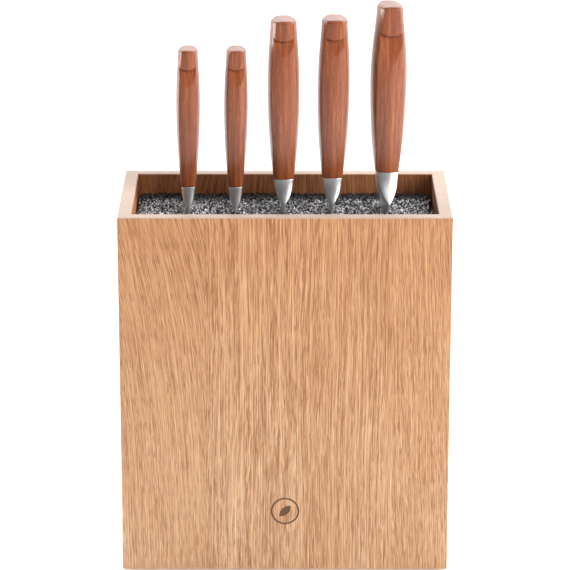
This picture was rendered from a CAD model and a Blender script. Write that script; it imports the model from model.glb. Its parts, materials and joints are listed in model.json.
import json
import math

import bpy
import numpy as np
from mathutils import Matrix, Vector


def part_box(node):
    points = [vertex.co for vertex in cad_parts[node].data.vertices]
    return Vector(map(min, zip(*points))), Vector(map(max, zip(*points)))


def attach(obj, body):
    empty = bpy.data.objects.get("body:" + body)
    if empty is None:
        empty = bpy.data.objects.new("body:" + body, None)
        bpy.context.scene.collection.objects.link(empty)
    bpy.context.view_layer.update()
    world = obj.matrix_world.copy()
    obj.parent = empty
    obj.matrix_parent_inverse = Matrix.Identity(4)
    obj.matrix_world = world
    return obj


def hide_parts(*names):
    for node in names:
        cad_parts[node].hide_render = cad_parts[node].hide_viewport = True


# An oak knife block with a bristle insert and five knives, in the frame of the CAD model: metres,
# origin in the middle of the footprint, +Z up, front towards -Y. The CAD nodes keep their shapes and
# get procedural materials. The solid bristle bundles are replaced by separate rods.

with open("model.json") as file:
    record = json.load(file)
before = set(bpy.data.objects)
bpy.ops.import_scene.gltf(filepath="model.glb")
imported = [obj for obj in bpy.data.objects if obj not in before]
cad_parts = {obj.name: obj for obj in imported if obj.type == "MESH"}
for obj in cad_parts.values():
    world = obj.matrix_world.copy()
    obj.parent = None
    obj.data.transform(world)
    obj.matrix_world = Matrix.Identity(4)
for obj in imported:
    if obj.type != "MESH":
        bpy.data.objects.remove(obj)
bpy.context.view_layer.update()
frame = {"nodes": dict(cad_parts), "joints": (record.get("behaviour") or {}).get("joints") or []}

MM = 0.001
KNIVES = ("paring", "utility", "slicing", "bread", "chefs")

# Half the width and the depth inside the walls, the front face and the bristles' top, in millimetres.
INSIDE_HALF_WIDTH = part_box("base_panel")[1].x / MM
INSIDE_HALF_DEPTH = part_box("base_panel")[1].y / MM
FRONT_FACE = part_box("front_panel")[0].y / MM
BRISTLE_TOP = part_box("bristle_bundle_1")[1].z / MM


# ---------------------------------------------------------------- shader building blocks

# Nearly all of a noise texture's values lie between these.
NOISE_LOW = 0.30
NOISE_HIGH = 0.70
NOISE_MIDDLE = 0.5
BEVEL_SAMPLES = 6


class Shader:
    """A material's node tree, with one short method for each kind of node that it uses."""

    def __init__(self, name):
        self.material = bpy.data.materials.new(name)
        self.material.use_nodes = True
        self.tree = self.material.node_tree
        self.tree.nodes.clear()
        self.output = self.tree.nodes.new("ShaderNodeOutputMaterial")
        self.surface = self.tree.nodes.new("ShaderNodeBsdfPrincipled")
        self.tree.links.new(self.surface.outputs["BSDF"], self.output.inputs["Surface"])

    def link(self, value, socket):
        """Join an output to a socket, or set the socket where the value is a plain one."""
        if isinstance(value, bpy.types.NodeSocket):
            self.tree.links.new(value, socket)
        else:
            socket.default_value = value

    def set(self, **values):
        """Set the surface's sockets, named with _ for each space."""
        for name, value in values.items():
            self.link(value, self.surface.inputs[name.replace("_", " ")])

    def math(self, operation, *values, clamp=False):
        node = self.tree.nodes.new("ShaderNodeMath")
        node.operation = operation
        node.use_clamp = clamp
        for value, socket in zip(values, node.inputs):
            self.link(value, socket)
        return node.outputs[0]

    def add(self, first, *others):
        for other in others:
            first = self.math("ADD", first, other)
        return first

    def times(self, value, factor):
        return self.math("MULTIPLY", value, factor)

    def split(self, vector):
        node = self.tree.nodes.new("ShaderNodeSeparateXYZ")
        self.tree.links.new(vector, node.inputs[0])
        return node.outputs

    def place(self):
        """Where the shaded point is on the model, as X, Y and Z outputs in millimetres."""
        node = self.tree.nodes.new("ShaderNodeTexCoord")
        return [self.times(axis, 1 / MM) for axis in self.split(node.outputs["Object"])]

    def normal(self):
        """Which way the face points, as X, Y and Z outputs."""
        return self.split(self.tree.nodes.new("ShaderNodeNewGeometry").outputs["True Normal"])

    def island(self):
        """A random number for each separate piece of the mesh."""
        return self.tree.nodes.new("ShaderNodeNewGeometry").outputs["Random Per Island"]

    def point(self, x, y, z):
        node = self.tree.nodes.new("ShaderNodeCombineXYZ")
        for value, socket in zip((x, y, z), node.inputs):
            self.link(value, socket)
        return node.outputs[0]

    def scaled(self, place, scale):
        return self.point(*[self.times(axis, scale) for axis in place])

    def noise(self, vector, detail=2.0, roughness=0.5):
        node = self.tree.nodes.new("ShaderNodeTexNoise")
        self.tree.links.new(vector, node.inputs["Vector"])
        node.inputs["Scale"].default_value = 1.0
        node.inputs["Detail"].default_value = detail
        node.inputs["Roughness"].default_value = roughness
        return node.outputs["Fac"]

    def remap(self, value, low, high, to_low=0.0, to_high=1.0, smooth=False):
        node = self.tree.nodes.new("ShaderNodeMapRange")
        node.interpolation_type = "SMOOTHSTEP" if smooth else "LINEAR"
        for item, socket in zip((value, low, high, to_low, to_high), node.inputs):
            self.link(item, socket)
        return node.outputs[0]

    def between(self, noise, low, high):
        """Stretch a noise over a range of values."""
        return self.remap(noise, NOISE_LOW, NOISE_HIGH, low, high)

    def ramp(self, value, stops):
        """A colour ramp from (place, colour) stops."""
        node = self.tree.nodes.new("ShaderNodeValToRGB")
        elements = node.color_ramp.elements
        while len(elements) < len(stops):
            elements.new(0.5)
        for element, (place, colour) in zip(elements, stops):
            element.position = place
            element.color = (*colour, 1.0)
        self.link(value, node.inputs["Fac"])
        return node.outputs["Color"]

    def mix(self, factor, first, second, blend="MIX"):
        node = self.tree.nodes.new("ShaderNodeMix")
        node.data_type = "RGBA"
        node.blend_type = blend
        self.link(factor, node.inputs["Factor"])
        for value, socket in ((first, node.inputs[6]), (second, node.inputs[7])):
            self.link((*value, 1.0) if isinstance(value, tuple) else value, socket)
        return node.outputs[2]

    def stain(self, factor, colour, tint):
        """Multiply a colour by a tint, as far as the factor says."""
        return self.mix(factor, colour, self.mix(1.0, colour, tint, "MULTIPLY"))

    def soft_edges(self, radius):
        """A normal that turns gradually over the edges of the mesh."""
        node = self.tree.nodes.new("ShaderNodeBevel")
        node.samples = BEVEL_SAMPLES
        node.inputs["Radius"].default_value = radius
        return node.outputs["Normal"]

    def bump(self, height, distance, strength, normal=None):
        node = self.tree.nodes.new("ShaderNodeBump")
        if normal:
            self.tree.links.new(normal, node.inputs["Normal"])
        node.inputs["Distance"].default_value = distance
        node.inputs["Strength"].default_value = strength
        self.tree.links.new(height, node.inputs["Height"])
        return node.outputs["Normal"]


def paint(node, shader):
    """Give a CAD node one material."""
    slots = frame["nodes"][node].data.materials
    slots.clear()
    slots.append(shader.material)
    for face in frame["nodes"][node].data.polygons:
        face.material_index = 0


# ---------------------------------------------------------------- grain of both woods

def grain_noises(shader, side, row, height, layers, roughness):
    """The layers of a wood's grain by name: noises drawn out along the height."""
    noises = {}
    for name, layer in layers.items():
        vector = shader.point(shader.times(side, layer["across"]),
                              shader.add(row, layer["offset"]),
                              shader.times(height, layer["along"]))
        noises[name] = shader.noise(vector, layer["detail"], roughness)
    return noises


def grain_tone(shader, noises, layers):
    """How much the layers together lighten or darken the wood."""
    return shader.add(*[shader.between(noises[name], -layer["tone"], layer["tone"])
                        for name, layer in layers.items() if layer["tone"]])


# ---------------------------------------------------------------- oak

# Each stave of a panel: where it ends across the panel in millimetres, the slant of its grain, how
# much that slant grows going up, how far apart its growth rings are, its tone and how much paler
# it gets going down.
FRONT_STAVES = (
    {"end": -53, "slant": 0.02, "curve": 0.00050, "rings": 2.0, "tone": -0.02, "pale": 0.75},
    {"end": 9, "slant": -0.01, "curve": 0.00006, "rings": 2.5, "tone": -0.02, "pale": 1.0},
    {"end": 72, "slant": 0.0, "curve": -0.00005, "rings": 2.1, "tone": -0.03, "pale": 0.7},
    {"end": 111, "slant": 0.03, "curve": 0.00004, "rings": 2.3, "tone": 0.0, "pale": 0.6},
)
BACK_STAVES = (
    {"end": -61, "slant": -0.02, "curve": 0.0001, "rings": 2.2, "tone": 0.02, "pale": 0.7},
    {"end": -7, "slant": 0.03, "curve": -0.0003, "rings": 2.5, "tone": -0.03, "pale": 0.9},
    {"end": 48, "slant": 0.0, "curve": 0.0001, "rings": 2.0, "tone": 0.03, "pale": 0.7},
    {"end": 111, "slant": -0.03, "curve": 0.0002, "rings": 2.4, "tone": 0.0, "pale": 0.8},
)
SIDE_STAVES = (
    {"end": -12, "slant": 0.02, "curve": -0.0001, "rings": 2.3, "tone": 0.0, "pale": 0.8},
    {"end": 59, "slant": -0.02, "curve": 0.0003, "rings": 2.1, "tone": 0.03, "pale": 0.7},
)
STAVE_STEP = 7.3

# Slow bends of the grain: how fine they are across and up the panel, per millimetre, how far they
# push the grain aside in millimetres, and what they add to the panel's seed.
OAK_BENDS = (
    {"across": 0.03, "up": 0.008, "reach": 5.0, "offset": 0.0},
    {"across": 0.12, "up": 0.035, "reach": 0.7, "offset": 5.0},
)
BEND_DETAIL = 1.0
CURVE_START = 60.0
RING_DEPTH = 0.6

# Layers of grain: how fine they are across it, per ring, and along it, per millimetre, how detailed
# they are and how much they change the tone. The pores only cut dark dashes.
OAK_GRAIN = {
    "broad": {"across": 0.17, "along": 0.004, "detail": 2.0, "offset": 0.0, "tone": 0.03},
    "rows": {"across": 1.8, "along": 0.006, "detail": 1.0, "offset": 0.0, "tone": 0.12},
    "lines": {"across": 3.6, "along": 0.017, "detail": 1.0, "offset": 0.0, "tone": 0.28},
    "fibres": {"across": 7.0, "along": 0.07, "detail": 1.0, "offset": 0.0, "tone": 0.34},
    "pores": {"across": 4.8, "along": 0.11, "detail": 1.0, "offset": 0.0, "tone": 0.0},
}
OAK_CLOUD = {"across": 0.02, "up": 0.011, "offset": 40.0, "tone": 0.05}
OAK_NOISE_ROUGHNESS = 0.5
OAK_TONE = 0.52
OAK_DARK = (0.27, 0.095, 0.028)
OAK_RAMP = ((0.0, OAK_DARK), (0.48, (0.50, 0.232, 0.094)), (1.0, (0.65, 0.365, 0.185)))
OAK_ROUGHNESS = (0.40, 0.50)
OAK_BUMP = {"distance": 0.0001, "strength": 0.35}
OAK_LINE_RELIEF = 0.3

# Open pores: the noise values at which a pore starts and is fully cut, and the same for the rows
# that have pores at all.
PORE_START, PORE_FULL = 0.48, 0.39
PORE_ROW_START, PORE_ROW_FULL = 0.66, 0.44
PORE_STRENGTH = 0.62
PORE_COLOUR = (0.22, 0.072, 0.018)

# Going down between these heights the panels get paler.
PALE_START, PALE_FULL = 240.0, 30.0
PALE_TINT = (1.20, 1.50, 1.95)

# The rim is paler and calmer than the faces; these are the upward parts of its normal.
RIM_START, RIM_FULL = 0.5, 0.75
RIM_COLOUR = (0.575, 0.460, 0.380)
RIM_STRENGTH = 0.75

# The inner faces are stained, and the front panel's is stained darker than the others.
INSIDE_MARGIN = 0.2
INSIDE_LEFT_TINT = (1.0, 0.88, 0.85)
INSIDE_RIGHT_TINT = (0.42, 0.32, 0.26)
INSIDE_FRONT_TINT = (0.25, 0.28, 0.32)
INSIDE_FRONT_REACH = 1.0


def per_stave(shader, across, staves, key):
    """A number that is constant on each stave and steps at the glue lines."""
    value = staves[0][key]
    for left, right in zip(staves, staves[1:]):
        step = shader.math("GREATER_THAN", across, left["end"])
        value = shader.add(shader.times(step, right[key] - left[key]), value)
    return value


def ring_place(shader, across, through, height, stave, seed):
    """How far across the growth rings a point is, counted in rings."""
    side = across
    for bend in OAK_BENDS:
        vector = shader.point(shader.times(across, bend["across"]), seed + bend["offset"],
                              shader.times(height, bend["up"]))
        sway = shader.math("SUBTRACT", shader.noise(vector, BEND_DETAIL), NOISE_MIDDLE)
        side = shader.add(side, shader.times(sway, bend["reach"]))
    raised = shader.math("MAXIMUM", shader.math("SUBTRACT", height, CURVE_START), 0.0)
    curve = shader.times(stave("curve"), shader.math("POWER", raised, 2.0))
    slant = shader.times(stave("slant"), height)
    side = shader.add(side, slant, curve, shader.times(through, RING_DEPTH))
    return shader.math("DIVIDE", side, stave("rings"))


def oak(name, across_axis, staves, seed, mark=None):
    """Oiled oak: staves glued edge to edge, each with its own slant, and rows of open pores."""
    shader = Shader(name)
    place = shader.place()
    across, through = (place[0], place[1]) if across_axis == "X" else (place[1], place[0])
    height = place[2]
    numbered = [dict(item, number=index * STAVE_STEP + seed) for index, item in enumerate(staves)]

    def stave(key):
        return per_stave(shader, across, numbered, key)

    side = ring_place(shader, across, through, height, stave, seed)
    grain = grain_noises(shader, side, stave("number"), height, OAK_GRAIN,
                         OAK_NOISE_ROUGHNESS)
    cloud = shader.noise(shader.point(shader.times(across, OAK_CLOUD["across"]),
                                      seed + OAK_CLOUD["offset"],
                                      shader.times(height, OAK_CLOUD["up"])))
    tone = shader.add(grain_tone(shader, grain, OAK_GRAIN), stave("tone"),
                      shader.between(cloud, -OAK_CLOUD["tone"], OAK_CLOUD["tone"]))
    colour = shader.ramp(shader.math("ADD", tone, OAK_TONE, clamp=True), OAK_RAMP)
    row = shader.remap(grain["rows"], PORE_ROW_START, PORE_ROW_FULL, smooth=True)
    cut = shader.times(shader.remap(grain["pores"], PORE_START, PORE_FULL, smooth=True), row)
    colour = shader.mix(shader.times(cut, PORE_STRENGTH), colour, PORE_COLOUR)
    low = shader.times(shader.remap(height, PALE_START, PALE_FULL), stave("pale"))
    colour = shader.stain(low, colour, PALE_TINT)
    colour = oak_rim_and_inside(shader, place, colour)
    if mark:
        colour = mark(shader, place, colour)
    relief = shader.math("SUBTRACT", shader.times(grain["lines"], OAK_LINE_RELIEF), cut)
    shader.set(Base_Color=colour, Roughness=shader.between(grain["lines"], *OAK_ROUGHNESS),
               Normal=shader.bump(relief, **OAK_BUMP))
    return shader


def oak_rim_and_inside(shader, place, colour):
    """Pale wood on the faces that point up and stained wood on the ones that face the bristles."""
    top = shader.remap(shader.normal()[2], RIM_START, RIM_FULL)
    colour = shader.mix(shader.times(top, RIM_STRENGTH), colour, RIM_COLOUR)
    inside = 1.0
    for axis, half in ((place[0], INSIDE_HALF_WIDTH), (place[1], INSIDE_HALF_DEPTH)):
        within = shader.math("LESS_THAN", shader.math("ABSOLUTE", axis), half + INSIDE_MARGIN)
        inside = shader.times(within, inside)
    from_left = shader.remap(place[0], -INSIDE_HALF_WIDTH, INSIDE_HALF_WIDTH)
    tint = shader.ramp(from_left, ((0.0, INSIDE_LEFT_TINT), (1.0, INSIDE_RIGHT_TINT)))
    colour = shader.stain(inside, colour, tint)
    front = shader.math("LESS_THAN", place[1], INSIDE_FRONT_REACH - INSIDE_HALF_DEPTH)
    return shader.stain(shader.times(inside, front), colour, INSIDE_FRONT_TINT)


# The maker's mark, low on the front panel: the middle's height, how far it reaches from there and
# how deep its grooves start, in millimetres.
MARK_HEIGHT = 44.1
MARK_REACH = 11.0
MARK_DEPTH = 0.03
MARK_STRENGTH = 0.96
MARK_GRAIN = {"across": 1.2, "up": 0.3, "offset": 3.0, "most": 0.35}
BURNT = (0.085, 0.026, 0.012)


def burnt_mark(shader, place, colour):
    """Char the wood in the engraved ring and leaf."""
    up = shader.math("SUBTRACT", place[2], MARK_HEIGHT)
    away = shader.math("SQRT", shader.add(shader.math("POWER", place[0], 2.0),
                                          shader.math("POWER", up, 2.0)))
    near = shader.math("LESS_THAN", away, MARK_REACH)
    sunk = shader.math("GREATER_THAN", place[1], FRONT_FACE + MARK_DEPTH)
    grain = shader.noise(shader.point(shader.times(place[0], MARK_GRAIN["across"]),
                                      MARK_GRAIN["offset"],
                                      shader.times(place[2], MARK_GRAIN["up"])))
    char = shader.mix(shader.between(grain, 0.0, MARK_GRAIN["most"]), BURNT, OAK_DARK)
    return shader.mix(shader.times(shader.times(sunk, near), MARK_STRENGTH), colour, char)


# ---------------------------------------------------------------- handle wood

# The same tables as for oak, with everything per millimetre.
HANDLE_WANDER = {"scale": 0.02, "reach": 6.0}
HANDLE_RING_DEPTH = 0.35
HANDLE_GRAIN = {
    "bands": {"across": 0.32, "along": 0.012, "detail": 2.0, "offset": 0.0, "tone": 0.26},
    "lines": {"across": 1.1, "along": 0.045, "detail": 2.0, "offset": 5.0, "tone": 0.20},
    "dashes": {"across": 2.4, "along": 0.16, "detail": 2.0, "offset": 9.0, "tone": 0.12},
}
HANDLE_NOISE_ROUGHNESS = 0.55
HANDLE_TONE = 0.5
HANDLE_RAMP = ((0.0, (0.135, 0.030, 0.009)), (0.5, (0.270, 0.063, 0.016)), (1.0, (0.46, 0.148, 0.052)))
FLECK_START, FLECK_FULL = 0.40, 0.30
FLECK_STRENGTH = 0.5
FLECK_COLOUR = (0.13, 0.035, 0.018)
HANDLE_ROUGHNESS = (0.36, 0.46)
HANDLE_BUMP = {"distance": 0.00006, "strength": 0.4}
HANDLE_LACQUER = {"Coat_Weight": 0.6, "Coat_Roughness": 0.18, "Specular_IOR_Level": 0.38}
HANDLE_EDGE = 1.6 * MM
HANDLE_FIRST_SEED, HANDLE_SEED_STEP = 2.0, 11.0


def handle_wood(name, seed):
    """Reddish brown hardwood with fine straight grain, short dark pores and a satin lacquer."""
    shader = Shader(name)
    x, y, z = shader.place()
    wander = shader.noise(shader.point(shader.times(x, HANDLE_WANDER["scale"]), seed,
                                       shader.times(z, HANDLE_WANDER["scale"])), BEND_DETAIL)
    side = shader.add(x, shader.times(wander, HANDLE_WANDER["reach"]),
                      shader.times(y, HANDLE_RING_DEPTH))
    grain = grain_noises(shader, side, seed, z, HANDLE_GRAIN, HANDLE_NOISE_ROUGHNESS)
    tone = shader.math("ADD", grain_tone(shader, grain, HANDLE_GRAIN), HANDLE_TONE, clamp=True)
    flecks = shader.remap(grain["dashes"], FLECK_START, FLECK_FULL, smooth=True)
    colour = shader.mix(shader.times(flecks, FLECK_STRENGTH), shader.ramp(tone, HANDLE_RAMP),
                        FLECK_COLOUR)
    shader.set(Base_Color=colour, Roughness=shader.between(grain["lines"], *HANDLE_ROUGHNESS),
               Normal=shader.bump(grain["dashes"], normal=shader.soft_edges(HANDLE_EDGE), **HANDLE_BUMP))
    shader.set(**HANDLE_LACQUER)
    return shader


# ---------------------------------------------------------------- steel, plastic and rubber

BRUSH_ACROSS, BRUSH_ALONG = 9.0, 0.25
STEEL_CLOUD = {"scale": 0.12, "roughness": 0.03}
STEEL_RAMP = ((0.25, (0.60, 0.60, 0.61)), (0.75, (0.78, 0.78, 0.78)))
STEEL_ROUGHNESS = (0.32, 0.40)
STEEL_BUMP = {"distance": 0.000004, "strength": 0.5}
BOLSTER_EDGE = 0.9 * MM


def brushed_steel():
    """Satin steel, ground lengthways."""
    shader = Shader("brushed_steel")
    x, y, z = place = shader.place()
    brush = shader.noise(shader.point(shader.times(x, BRUSH_ACROSS), shader.times(y, BRUSH_ACROSS),
                                      shader.times(z, BRUSH_ALONG)))
    cloud = shader.noise(shader.scaled(place, STEEL_CLOUD["scale"]))
    uneven = shader.between(cloud, -STEEL_CLOUD["roughness"], STEEL_CLOUD["roughness"])
    shader.set(Base_Color=shader.ramp(brush, STEEL_RAMP), Metallic=1.0,
               Roughness=shader.add(shader.between(brush, *STEEL_ROUGHNESS), uneven),
               Normal=shader.bump(brush, normal=shader.soft_edges(BOLSTER_EDGE), **STEEL_BUMP))
    return shader


BRISTLE_GRAIN_SCALE = 1.5
BRISTLE_GRAIN_TONE = 0.30
BRISTLE_OWN_TONE = 0.85
BRISTLE_RAMP = ((0.25, (0.008, 0.007, 0.010)), (0.50, (0.055, 0.053, 0.058)),
                (0.72, (0.33, 0.328, 0.345)), (1.0, (0.92, 0.915, 0.95)))
# Where the rods get dark: between these depths below the top, and towards the back wall.
BRISTLE_DARK_START, BRISTLE_DARK_FULL = 2.2, 4.0
BRISTLE_BACK_START, BRISTLE_BACK_FULL = 24.0, 46.0
BRISTLE_BACK_TONE = 0.80
BRISTLE_ROUGHNESS = (0.30, 0.42)
BRISTLE_BUMP = {"distance": 0.00005, "strength": 0.3}


def bristle_plastic():
    """Charcoal plastic rods with pale tips, a little different from one rod to the next."""
    shader = Shader("bristle_plastic")
    place = shader.place()
    grain = shader.noise(shader.scaled(place, BRISTLE_GRAIN_SCALE))
    tone = shader.add(shader.times(shader.island(), BRISTLE_OWN_TONE),
                      shader.times(grain, BRISTLE_GRAIN_TONE))
    deep = shader.remap(place[2], BRISTLE_TOP - BRISTLE_DARK_START, BRISTLE_TOP - BRISTLE_DARK_FULL)
    back = shader.remap(place[1], BRISTLE_BACK_START, BRISTLE_BACK_FULL, 0.0, BRISTLE_BACK_TONE,
                        smooth=True)
    tone = shader.math("SUBTRACT", shader.math("SUBTRACT", tone, deep), back)
    shader.set(Base_Color=shader.ramp(tone, BRISTLE_RAMP),
               Roughness=shader.between(grain, *BRISTLE_ROUGHNESS),
               Normal=shader.bump(grain, **BRISTLE_BUMP))
    return shader


MOULDED_DETAIL = 3.0
MOULDED_ROUGHNESS_SPREAD = 0.06
MOULDED_BUMP = {"distance": 0.00004, "strength": 0.4}


def moulded(name, dark, light, rough, scale):
    """Moulded plastic or rubber with a fine spark-eroded texture."""
    shader = Shader(name)
    grain = shader.noise(shader.scaled(shader.place(), scale), MOULDED_DETAIL)
    shader.set(Base_Color=shader.ramp(grain, ((NOISE_LOW, dark), (NOISE_HIGH, light))),
               Roughness=shader.between(grain, rough - MOULDED_ROUGHNESS_SPREAD,
                                        rough + MOULDED_ROUGHNESS_SPREAD),
               Normal=shader.bump(grain, **MOULDED_BUMP))
    return shader


def paint_block():
    paint("front_panel", oak("oak_front", "X", FRONT_STAVES, seed=3.0, mark=burnt_mark))
    paint("back_panel", oak("oak_back", "X", BACK_STAVES, seed=17.0))
    paint("left_panel", oak("oak_left", "Y", SIDE_STAVES, seed=29.0))
    paint("right_panel", oak("oak_right", "Y", SIDE_STAVES, seed=43.0))
    paint("base_panel", oak("oak_base", "X", BACK_STAVES, seed=61.0))
    rubber = moulded("foot_rubber", (0.012, 0.012, 0.012), (0.03, 0.03, 0.03), rough=0.75, scale=2.0)
    for node in ("foot_front_left", "foot_front_right", "foot_back_left", "foot_back_right"):
        paint(node, rubber)
    tray = moulded("tray_plastic", (0.02, 0.02, 0.022), (0.045, 0.045, 0.047), rough=0.5, scale=3.0)
    paint("bristle_tray", tray)


def paint_knives():
    steel = brushed_steel()
    for index, knife in enumerate(KNIVES):
        paint(f"{knife}_knife_blade", steel)
        seed = HANDLE_FIRST_SEED + HANDLE_SEED_STEP * index
        paint(f"{knife}_knife_handle", handle_wood(f"handle_wood_{knife}", seed))


# ---------------------------------------------------------------- bristles

SEED = 20
BANDS = 7
ROD_PITCH = 1.52 * MM
ROD_ROW_PITCH = 0.866 * ROD_PITCH
ROD_JITTER = 0.2 * MM
ROD_RADIUS = 0.50 * MM
ROD_THINNEST = 0.86
ROD_SIDES = 6
ROD_LEAN = 0.9 * MM
ROD_LEAN_POWER = 3
ROD_DROP = 0.8 * MM
ROD_MARGIN = 0.3 * MM
TIP_BEND = 2.8 * MM
TIP_LEAST_BEND = 0.2
TIP_REACH = 0.15 * MM
# Up a rod: its share of the straight length, how far below its top in millimetres, how much of the
# tip's bend it has, how far it leans over there in degrees and its radius against the rod's own.
ROD_LEVELS = (
    (0.0, 0.0, 0.0, 0.0, 1.0),
    (0.5, 0.0, 0.0, 0.0, 1.0),
    (0.8, 0.0, 0.0, 0.0, 1.0),
    (1.0, 3.6, 0.0, 0.0, 1.0),
    (1.0, 1.9, 0.14, 32.0, 1.0),
    (1.0, 1.1, 0.45, 58.0, 1.0),
    (1.0, 0.8, 0.93, 70.0, 0.95),
    (1.0, 0.72, 1.0, 72.0, 0.6),
)
WALL_GAP = 0.1 * MM
# Round a blade: how far to each side the rods are pushed, how far that reaches past the blade's
# front and back, how far below the tip it starts, and how far below the bristles' top the blade's
# shape is read.
PARTING = 9 * MM
PARTING_PAST_ENDS = 4 * MM
PARTING_BELOW_TIP = 2 * MM
SLAB_BELOW_TOP = 2 * MM


def blade_slabs():
    """The flat slab that each blade fills between the bristles, read from the CAD blades."""
    joints = {joint["name"]: joint for joint in frame["joints"]}
    slabs = []
    for knife in KNIVES:
        up = Vector(joints[f"{knife}_knife_draw"]["axis"]).normalized()
        mesh = frame["nodes"][f"{knife}_knife_blade"].data
        points = np.array([vertex.co for vertex in mesh.vertices])
        slabs.append(fit_slab(points, np.array(up)))
    return slabs


def fit_slab(points, up):
    """Fit a slab to a blade's points below the bristles' top: its centre, its forward and across
    directions, its half thickness, how far it reaches forward and back, and the tip's height."""
    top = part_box("bristle_bundle_1")[1].z
    low = points[points[:, 2] < top - SLAB_BELOW_TOP]
    centre = low.mean(axis=0)
    flat = low - centre
    flat = flat - np.outer(flat @ up, up)
    longest = np.linalg.svd(flat, full_matrices=False)[2][0]
    forward = longest if longest[1] < 0 else -longest
    across = np.cross(forward, up)
    reach = (low - centre) @ forward
    side = (low - centre) @ across
    return {"centre": centre, "forward": forward, "across": across, "half": np.abs(side).max(),
            "front": reach.max(), "back": reach.min(), "tip": low[:, 2].min()}


def part_round_blades(places, height, slabs):
    """Push rod centres sideways out of each blade, and less and less further away."""
    moved = places.copy()
    for slab in slabs:
        if height < slab["tip"] - PARTING_BELOW_TIP:
            continue
        spots = np.column_stack([moved, np.full(len(moved), height)]) - slab["centre"]
        side = spots @ slab["across"]
        along = spots @ slab["forward"]
        within = np.minimum(slab["front"] - along, along - slab["back"])
        clear = (slab["half"] + ROD_RADIUS) * np.clip(within / PARTING_PAST_ENDS + 1.0, 0.0, 1.0)
        distance = np.abs(side)
        pushed = np.where(distance < PARTING, clear + distance * (PARTING - clear) / PARTING, distance)
        shift = (pushed - distance) * np.where(side < 0, -1.0, 1.0)
        moved += np.outer(shift, slab["across"][:2])
    return moved


def hold_in_tray(centres):
    """Keep rod centres a rod's radius inside the tray's outline."""
    low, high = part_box("bristle_tray")
    reach = ROD_RADIUS + WALL_GAP
    return np.clip(centres, (low.x + reach, low.y + reach), (high.x - reach, high.y - reach))


def rod_places(random):
    """Rod centres on a jittered hexagonal grid that fills the insert."""
    low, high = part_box("bristle_tray")
    margin = ROD_RADIUS + ROD_MARGIN
    rows = int((high.y - low.y - 2 * margin) / ROD_ROW_PITCH) + 1
    columns = int((high.x - low.x - 2 * margin) / ROD_PITCH)
    spots = []
    for row in range(rows):
        y = low.y + margin + row * ROD_ROW_PITCH
        for column in range(columns):
            x = low.x + margin + (column + 0.5 * (row % 2)) * ROD_PITCH
            spots.append((x, y))
    spots = np.array(spots)
    return spots + random.normal(0, ROD_JITTER, spots.shape)


def build_bristles():
    """Every bristle as a thin rod with a bent, rounded tip, pushed aside where a blade stands."""
    random = np.random.default_rng(SEED)
    slabs = blade_slabs()
    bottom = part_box("bristle_bundle_1")[0].z
    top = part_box("bristle_bundle_1")[1].z
    spots = rod_places(random)
    tops = top - random.random(len(spots)) * ROD_DROP
    lean = random.normal(0, 1, spots.shape) * ROD_LEAN
    radii = ROD_RADIUS * random.uniform(ROD_THINNEST, 1.0, len(spots))
    turn = random.uniform(0, 2 * math.pi, len(spots))
    flop = np.column_stack([np.cos(turn), np.sin(turn)])
    flop *= random.uniform(TIP_LEAST_BEND, 1.0, len(spots))[:, None]
    rings = []
    for share, below, bent, tipped, swell in ROD_LEVELS:
        heights = bottom + (tops - bottom) * share - below * MM
        centres = hold_in_tray(spots + lean * share ** ROD_LEAN_POWER + flop * TIP_BEND * bent)
        centres = part_round_blades(centres, bottom + (top - bottom) * share, slabs)
        rings.append((centres, heights, radii * swell, math.radians(tipped)))
    material = bristle_plastic().material
    order = np.argsort(spots[:, 0], kind="stable")
    for band, rods in enumerate(np.array_split(order, BANDS)):
        piece = rods_mesh(f"bristles_{band + 1}", rings, turn, rods)
        piece.data.materials.append(material)
        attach(piece, "insert")
        if band == 0:
            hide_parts(*[node for node in frame["nodes"] if node.startswith("bristle_bundle")],
                        "bristles_front", "bristles_rear", "bristles_under")


def rods_mesh(name, rings, turn, rods):
    """One mesh with the given rods."""
    points = rod_points(rings, turn, rods)
    per_rod = points.shape[1]
    pattern = rod_faces(len(rings))
    faces = []
    for rod in range(len(rods)):
        faces += [tuple(rod * per_rod + corner for corner in face) for face in pattern]
    mesh = bpy.data.meshes.new(name)
    mesh.from_pydata(points.reshape(-1, 3).tolist(), [], faces)
    mesh.polygons.foreach_set("use_smooth", [True] * len(mesh.polygons))
    piece = bpy.data.objects.new(name, mesh)
    bpy.context.scene.collection.objects.link(piece)
    return piece


def rod_points(rings, turn, rods):
    """Each rod's points: rings up the rod, which tip over the way its end bends, and one point at
    its end."""
    angle = np.arange(ROD_SIDES) * 2 * math.pi / ROD_SIDES
    ahead = np.column_stack([np.cos(turn[rods]), np.sin(turn[rods])])
    aside = np.column_stack([-ahead[:, 1], ahead[:, 0]])
    columns = []
    for centres, heights, radii, tipped in rings:
        out = radii[rods][:, None] * np.cos(angle)[None, :]
        over = radii[rods][:, None] * np.sin(angle)[None, :]
        x = centres[rods, 0][:, None] + ahead[:, :1] * out * math.cos(tipped) + aside[:, :1] * over
        y = centres[rods, 1][:, None] + ahead[:, 1:] * out * math.cos(tipped) + aside[:, 1:] * over
        z = heights[rods][:, None] - out * math.sin(tipped)
        columns.append(np.stack([x, y, z], axis=2))
    body = np.stack(columns, axis=1).reshape(len(rods), -1, 3)
    end = rings[-1][0][rods] + ahead * TIP_REACH
    tip = np.column_stack([end, rings[-1][1][rods]])[:, None, :]
    return np.concatenate([body, tip], axis=1)


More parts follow.
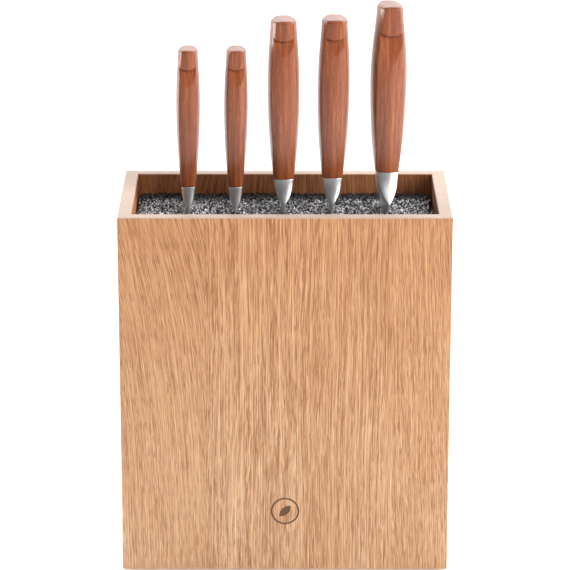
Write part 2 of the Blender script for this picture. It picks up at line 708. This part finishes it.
def rod_faces(levels):
    """One rod's faces: its sides, its rounded end and its foot."""
    last = (levels - 1) * ROD_SIDES
    edges = [(side, (side + 1) % ROD_SIDES) for side in range(ROD_SIDES)]
    sides = [(start + near, start + far, start + far + ROD_SIDES, start + near + ROD_SIDES)
             for start in range(0, last, ROD_SIDES) for near, far in edges]
    end = [(last + near, last + far, last + ROD_SIDES) for near, far in edges]
    foot = tuple(range(ROD_SIDES - 1, -1, -1))
    return sides + end + [foot]


# ---------------------------------------------------------------- camera, light and floor

CAMERA_DISTANCE = 1.8696
CAMERA_HEIGHT = 0.7868
CAMERA_PITCH = math.radians(17.82)
CAMERA_LENS = 182.5
SENSOR = 36.0

# Each softbox: its place, what it points at, its width and height, and its power.
MIDDLE = (0.0, 0.0, 0.25)
SOFTBOXES = {
    "top_softbox": ((0.0, 0.9, 1.5), (0.0, 0.5, 0.0), (2.4, 1.2), 27.0),
    "right_softbox": ((1.72, -0.90, 1.15), MIDDLE, (1.5, 1.3), 62.0),
    "front_softbox": ((0.15, -1.3, 1.5), MIDDLE, (1.2, 0.6), 4.0),
    "left_softbox": ((-1.5, 0.5, 0.42), MIDDLE, (1.1, 0.7), 16.0),
}

# The room is dim. The wall behind gets brighter between these Y and these Z parts of the direction
# that is looked in.
ROOM_LIGHT = 0.17
WALL_LIGHT = 1.8
WALL_DARK_Y, WALL_BRIGHT_Y = 0.25, 0.75
WALL_DARK_Z, WALL_BRIGHT_Z = 0.75, 0.40

FLOOR_HALF_SIDE = 12.0
FLOOR_SPECKLE = 0.04
FLOOR_RAMP = ((0.0, (0.93, 0.93, 0.93)), (1.0, (0.97, 0.97, 0.97)))
FLOOR_ROUGHNESS = 0.9
FLOOR_GLOW = 0.27


def add_camera():
    data = bpy.data.cameras.new("camera")
    data.sensor_width = SENSOR
    data.lens = CAMERA_LENS
    camera = bpy.data.objects.new("camera", data)
    camera.location = (0.0, -CAMERA_DISTANCE, CAMERA_HEIGHT)
    camera.rotation_euler = (math.pi / 2 - CAMERA_PITCH, 0.0, 0.0)
    bpy.context.scene.collection.objects.link(camera)
    bpy.context.scene.camera = camera


def add_softbox(name, place, target, size, power):
    data = bpy.data.lights.new(name, "AREA")
    data.shape = "RECTANGLE"
    data.size, data.size_y = size
    data.energy = power
    lamp = bpy.data.objects.new(name, data)
    lamp.location = place
    lamp.rotation_euler = (Vector(target) - Vector(place)).to_track_quat("-Z", "Y").to_euler()
    bpy.context.scene.collection.objects.link(lamp)


def add_world():
    """A dim room with a brighter wall behind the object, brightest low down."""
    world = bpy.data.worlds.new("studio")
    world.use_nodes = True
    tree = world.node_tree
    tree.nodes.clear()

    def node(kind, *values):
        """A node with its inputs linked or set in their order."""
        made = tree.nodes.new(kind)
        for value, socket in zip(values, made.inputs):
            if isinstance(value, bpy.types.NodeSocket):
                tree.links.new(value, socket)
            else:
                socket.default_value = value
        return made

    direction = node("ShaderNodeTexCoord").outputs["Generated"]
    split = node("ShaderNodeSeparateXYZ", direction)
    behind = node("ShaderNodeMapRange", split.outputs["Y"], WALL_DARK_Y, WALL_BRIGHT_Y)
    low = node("ShaderNodeMapRange", split.outputs["Z"], WALL_DARK_Z, WALL_BRIGHT_Z)
    wall = node("ShaderNodeMath", behind.outputs[0], low.outputs[0])
    wall.operation = "MULTIPLY"
    strength = node("ShaderNodeMath", wall.outputs[0], WALL_LIGHT, ROOM_LIGHT)
    strength.operation = "MULTIPLY_ADD"
    background = node("ShaderNodeBackground")
    tree.links.new(strength.outputs[0], background.inputs["Strength"])
    output = node("ShaderNodeOutputWorld")
    tree.links.new(background.outputs[0], output.inputs["Surface"])
    bpy.context.scene.world = world


def add_floor():
    shader = Shader("pale_floor")
    speckle = shader.noise(shader.scaled(shader.place(), FLOOR_SPECKLE))
    shader.set(Base_Color=shader.ramp(speckle, FLOOR_RAMP), Roughness=FLOOR_ROUGHNESS,
               Emission_Color=(1.0, 1.0, 1.0, 1.0), Emission_Strength=FLOOR_GLOW)
    half = FLOOR_HALF_SIDE
    mesh = bpy.data.meshes.new("floor")
    mesh.from_pydata([(-half, -half, 0), (half, -half, 0), (half, half, 0), (-half, half, 0)], [],
                     [(0, 1, 2, 3)])
    mesh.materials.append(shader.material)
    floor = bpy.data.objects.new("floor", mesh)
    bpy.context.scene.collection.objects.link(floor)


def add_studio():
    add_world()
    for name, (place, target, size, power) in SOFTBOXES.items():
        add_softbox(name, place, target, size, power)
    add_floor()
    bpy.context.scene.view_settings.view_transform = "Standard"


paint_block()
paint_knives()
build_bristles()
add_camera()
add_studio()
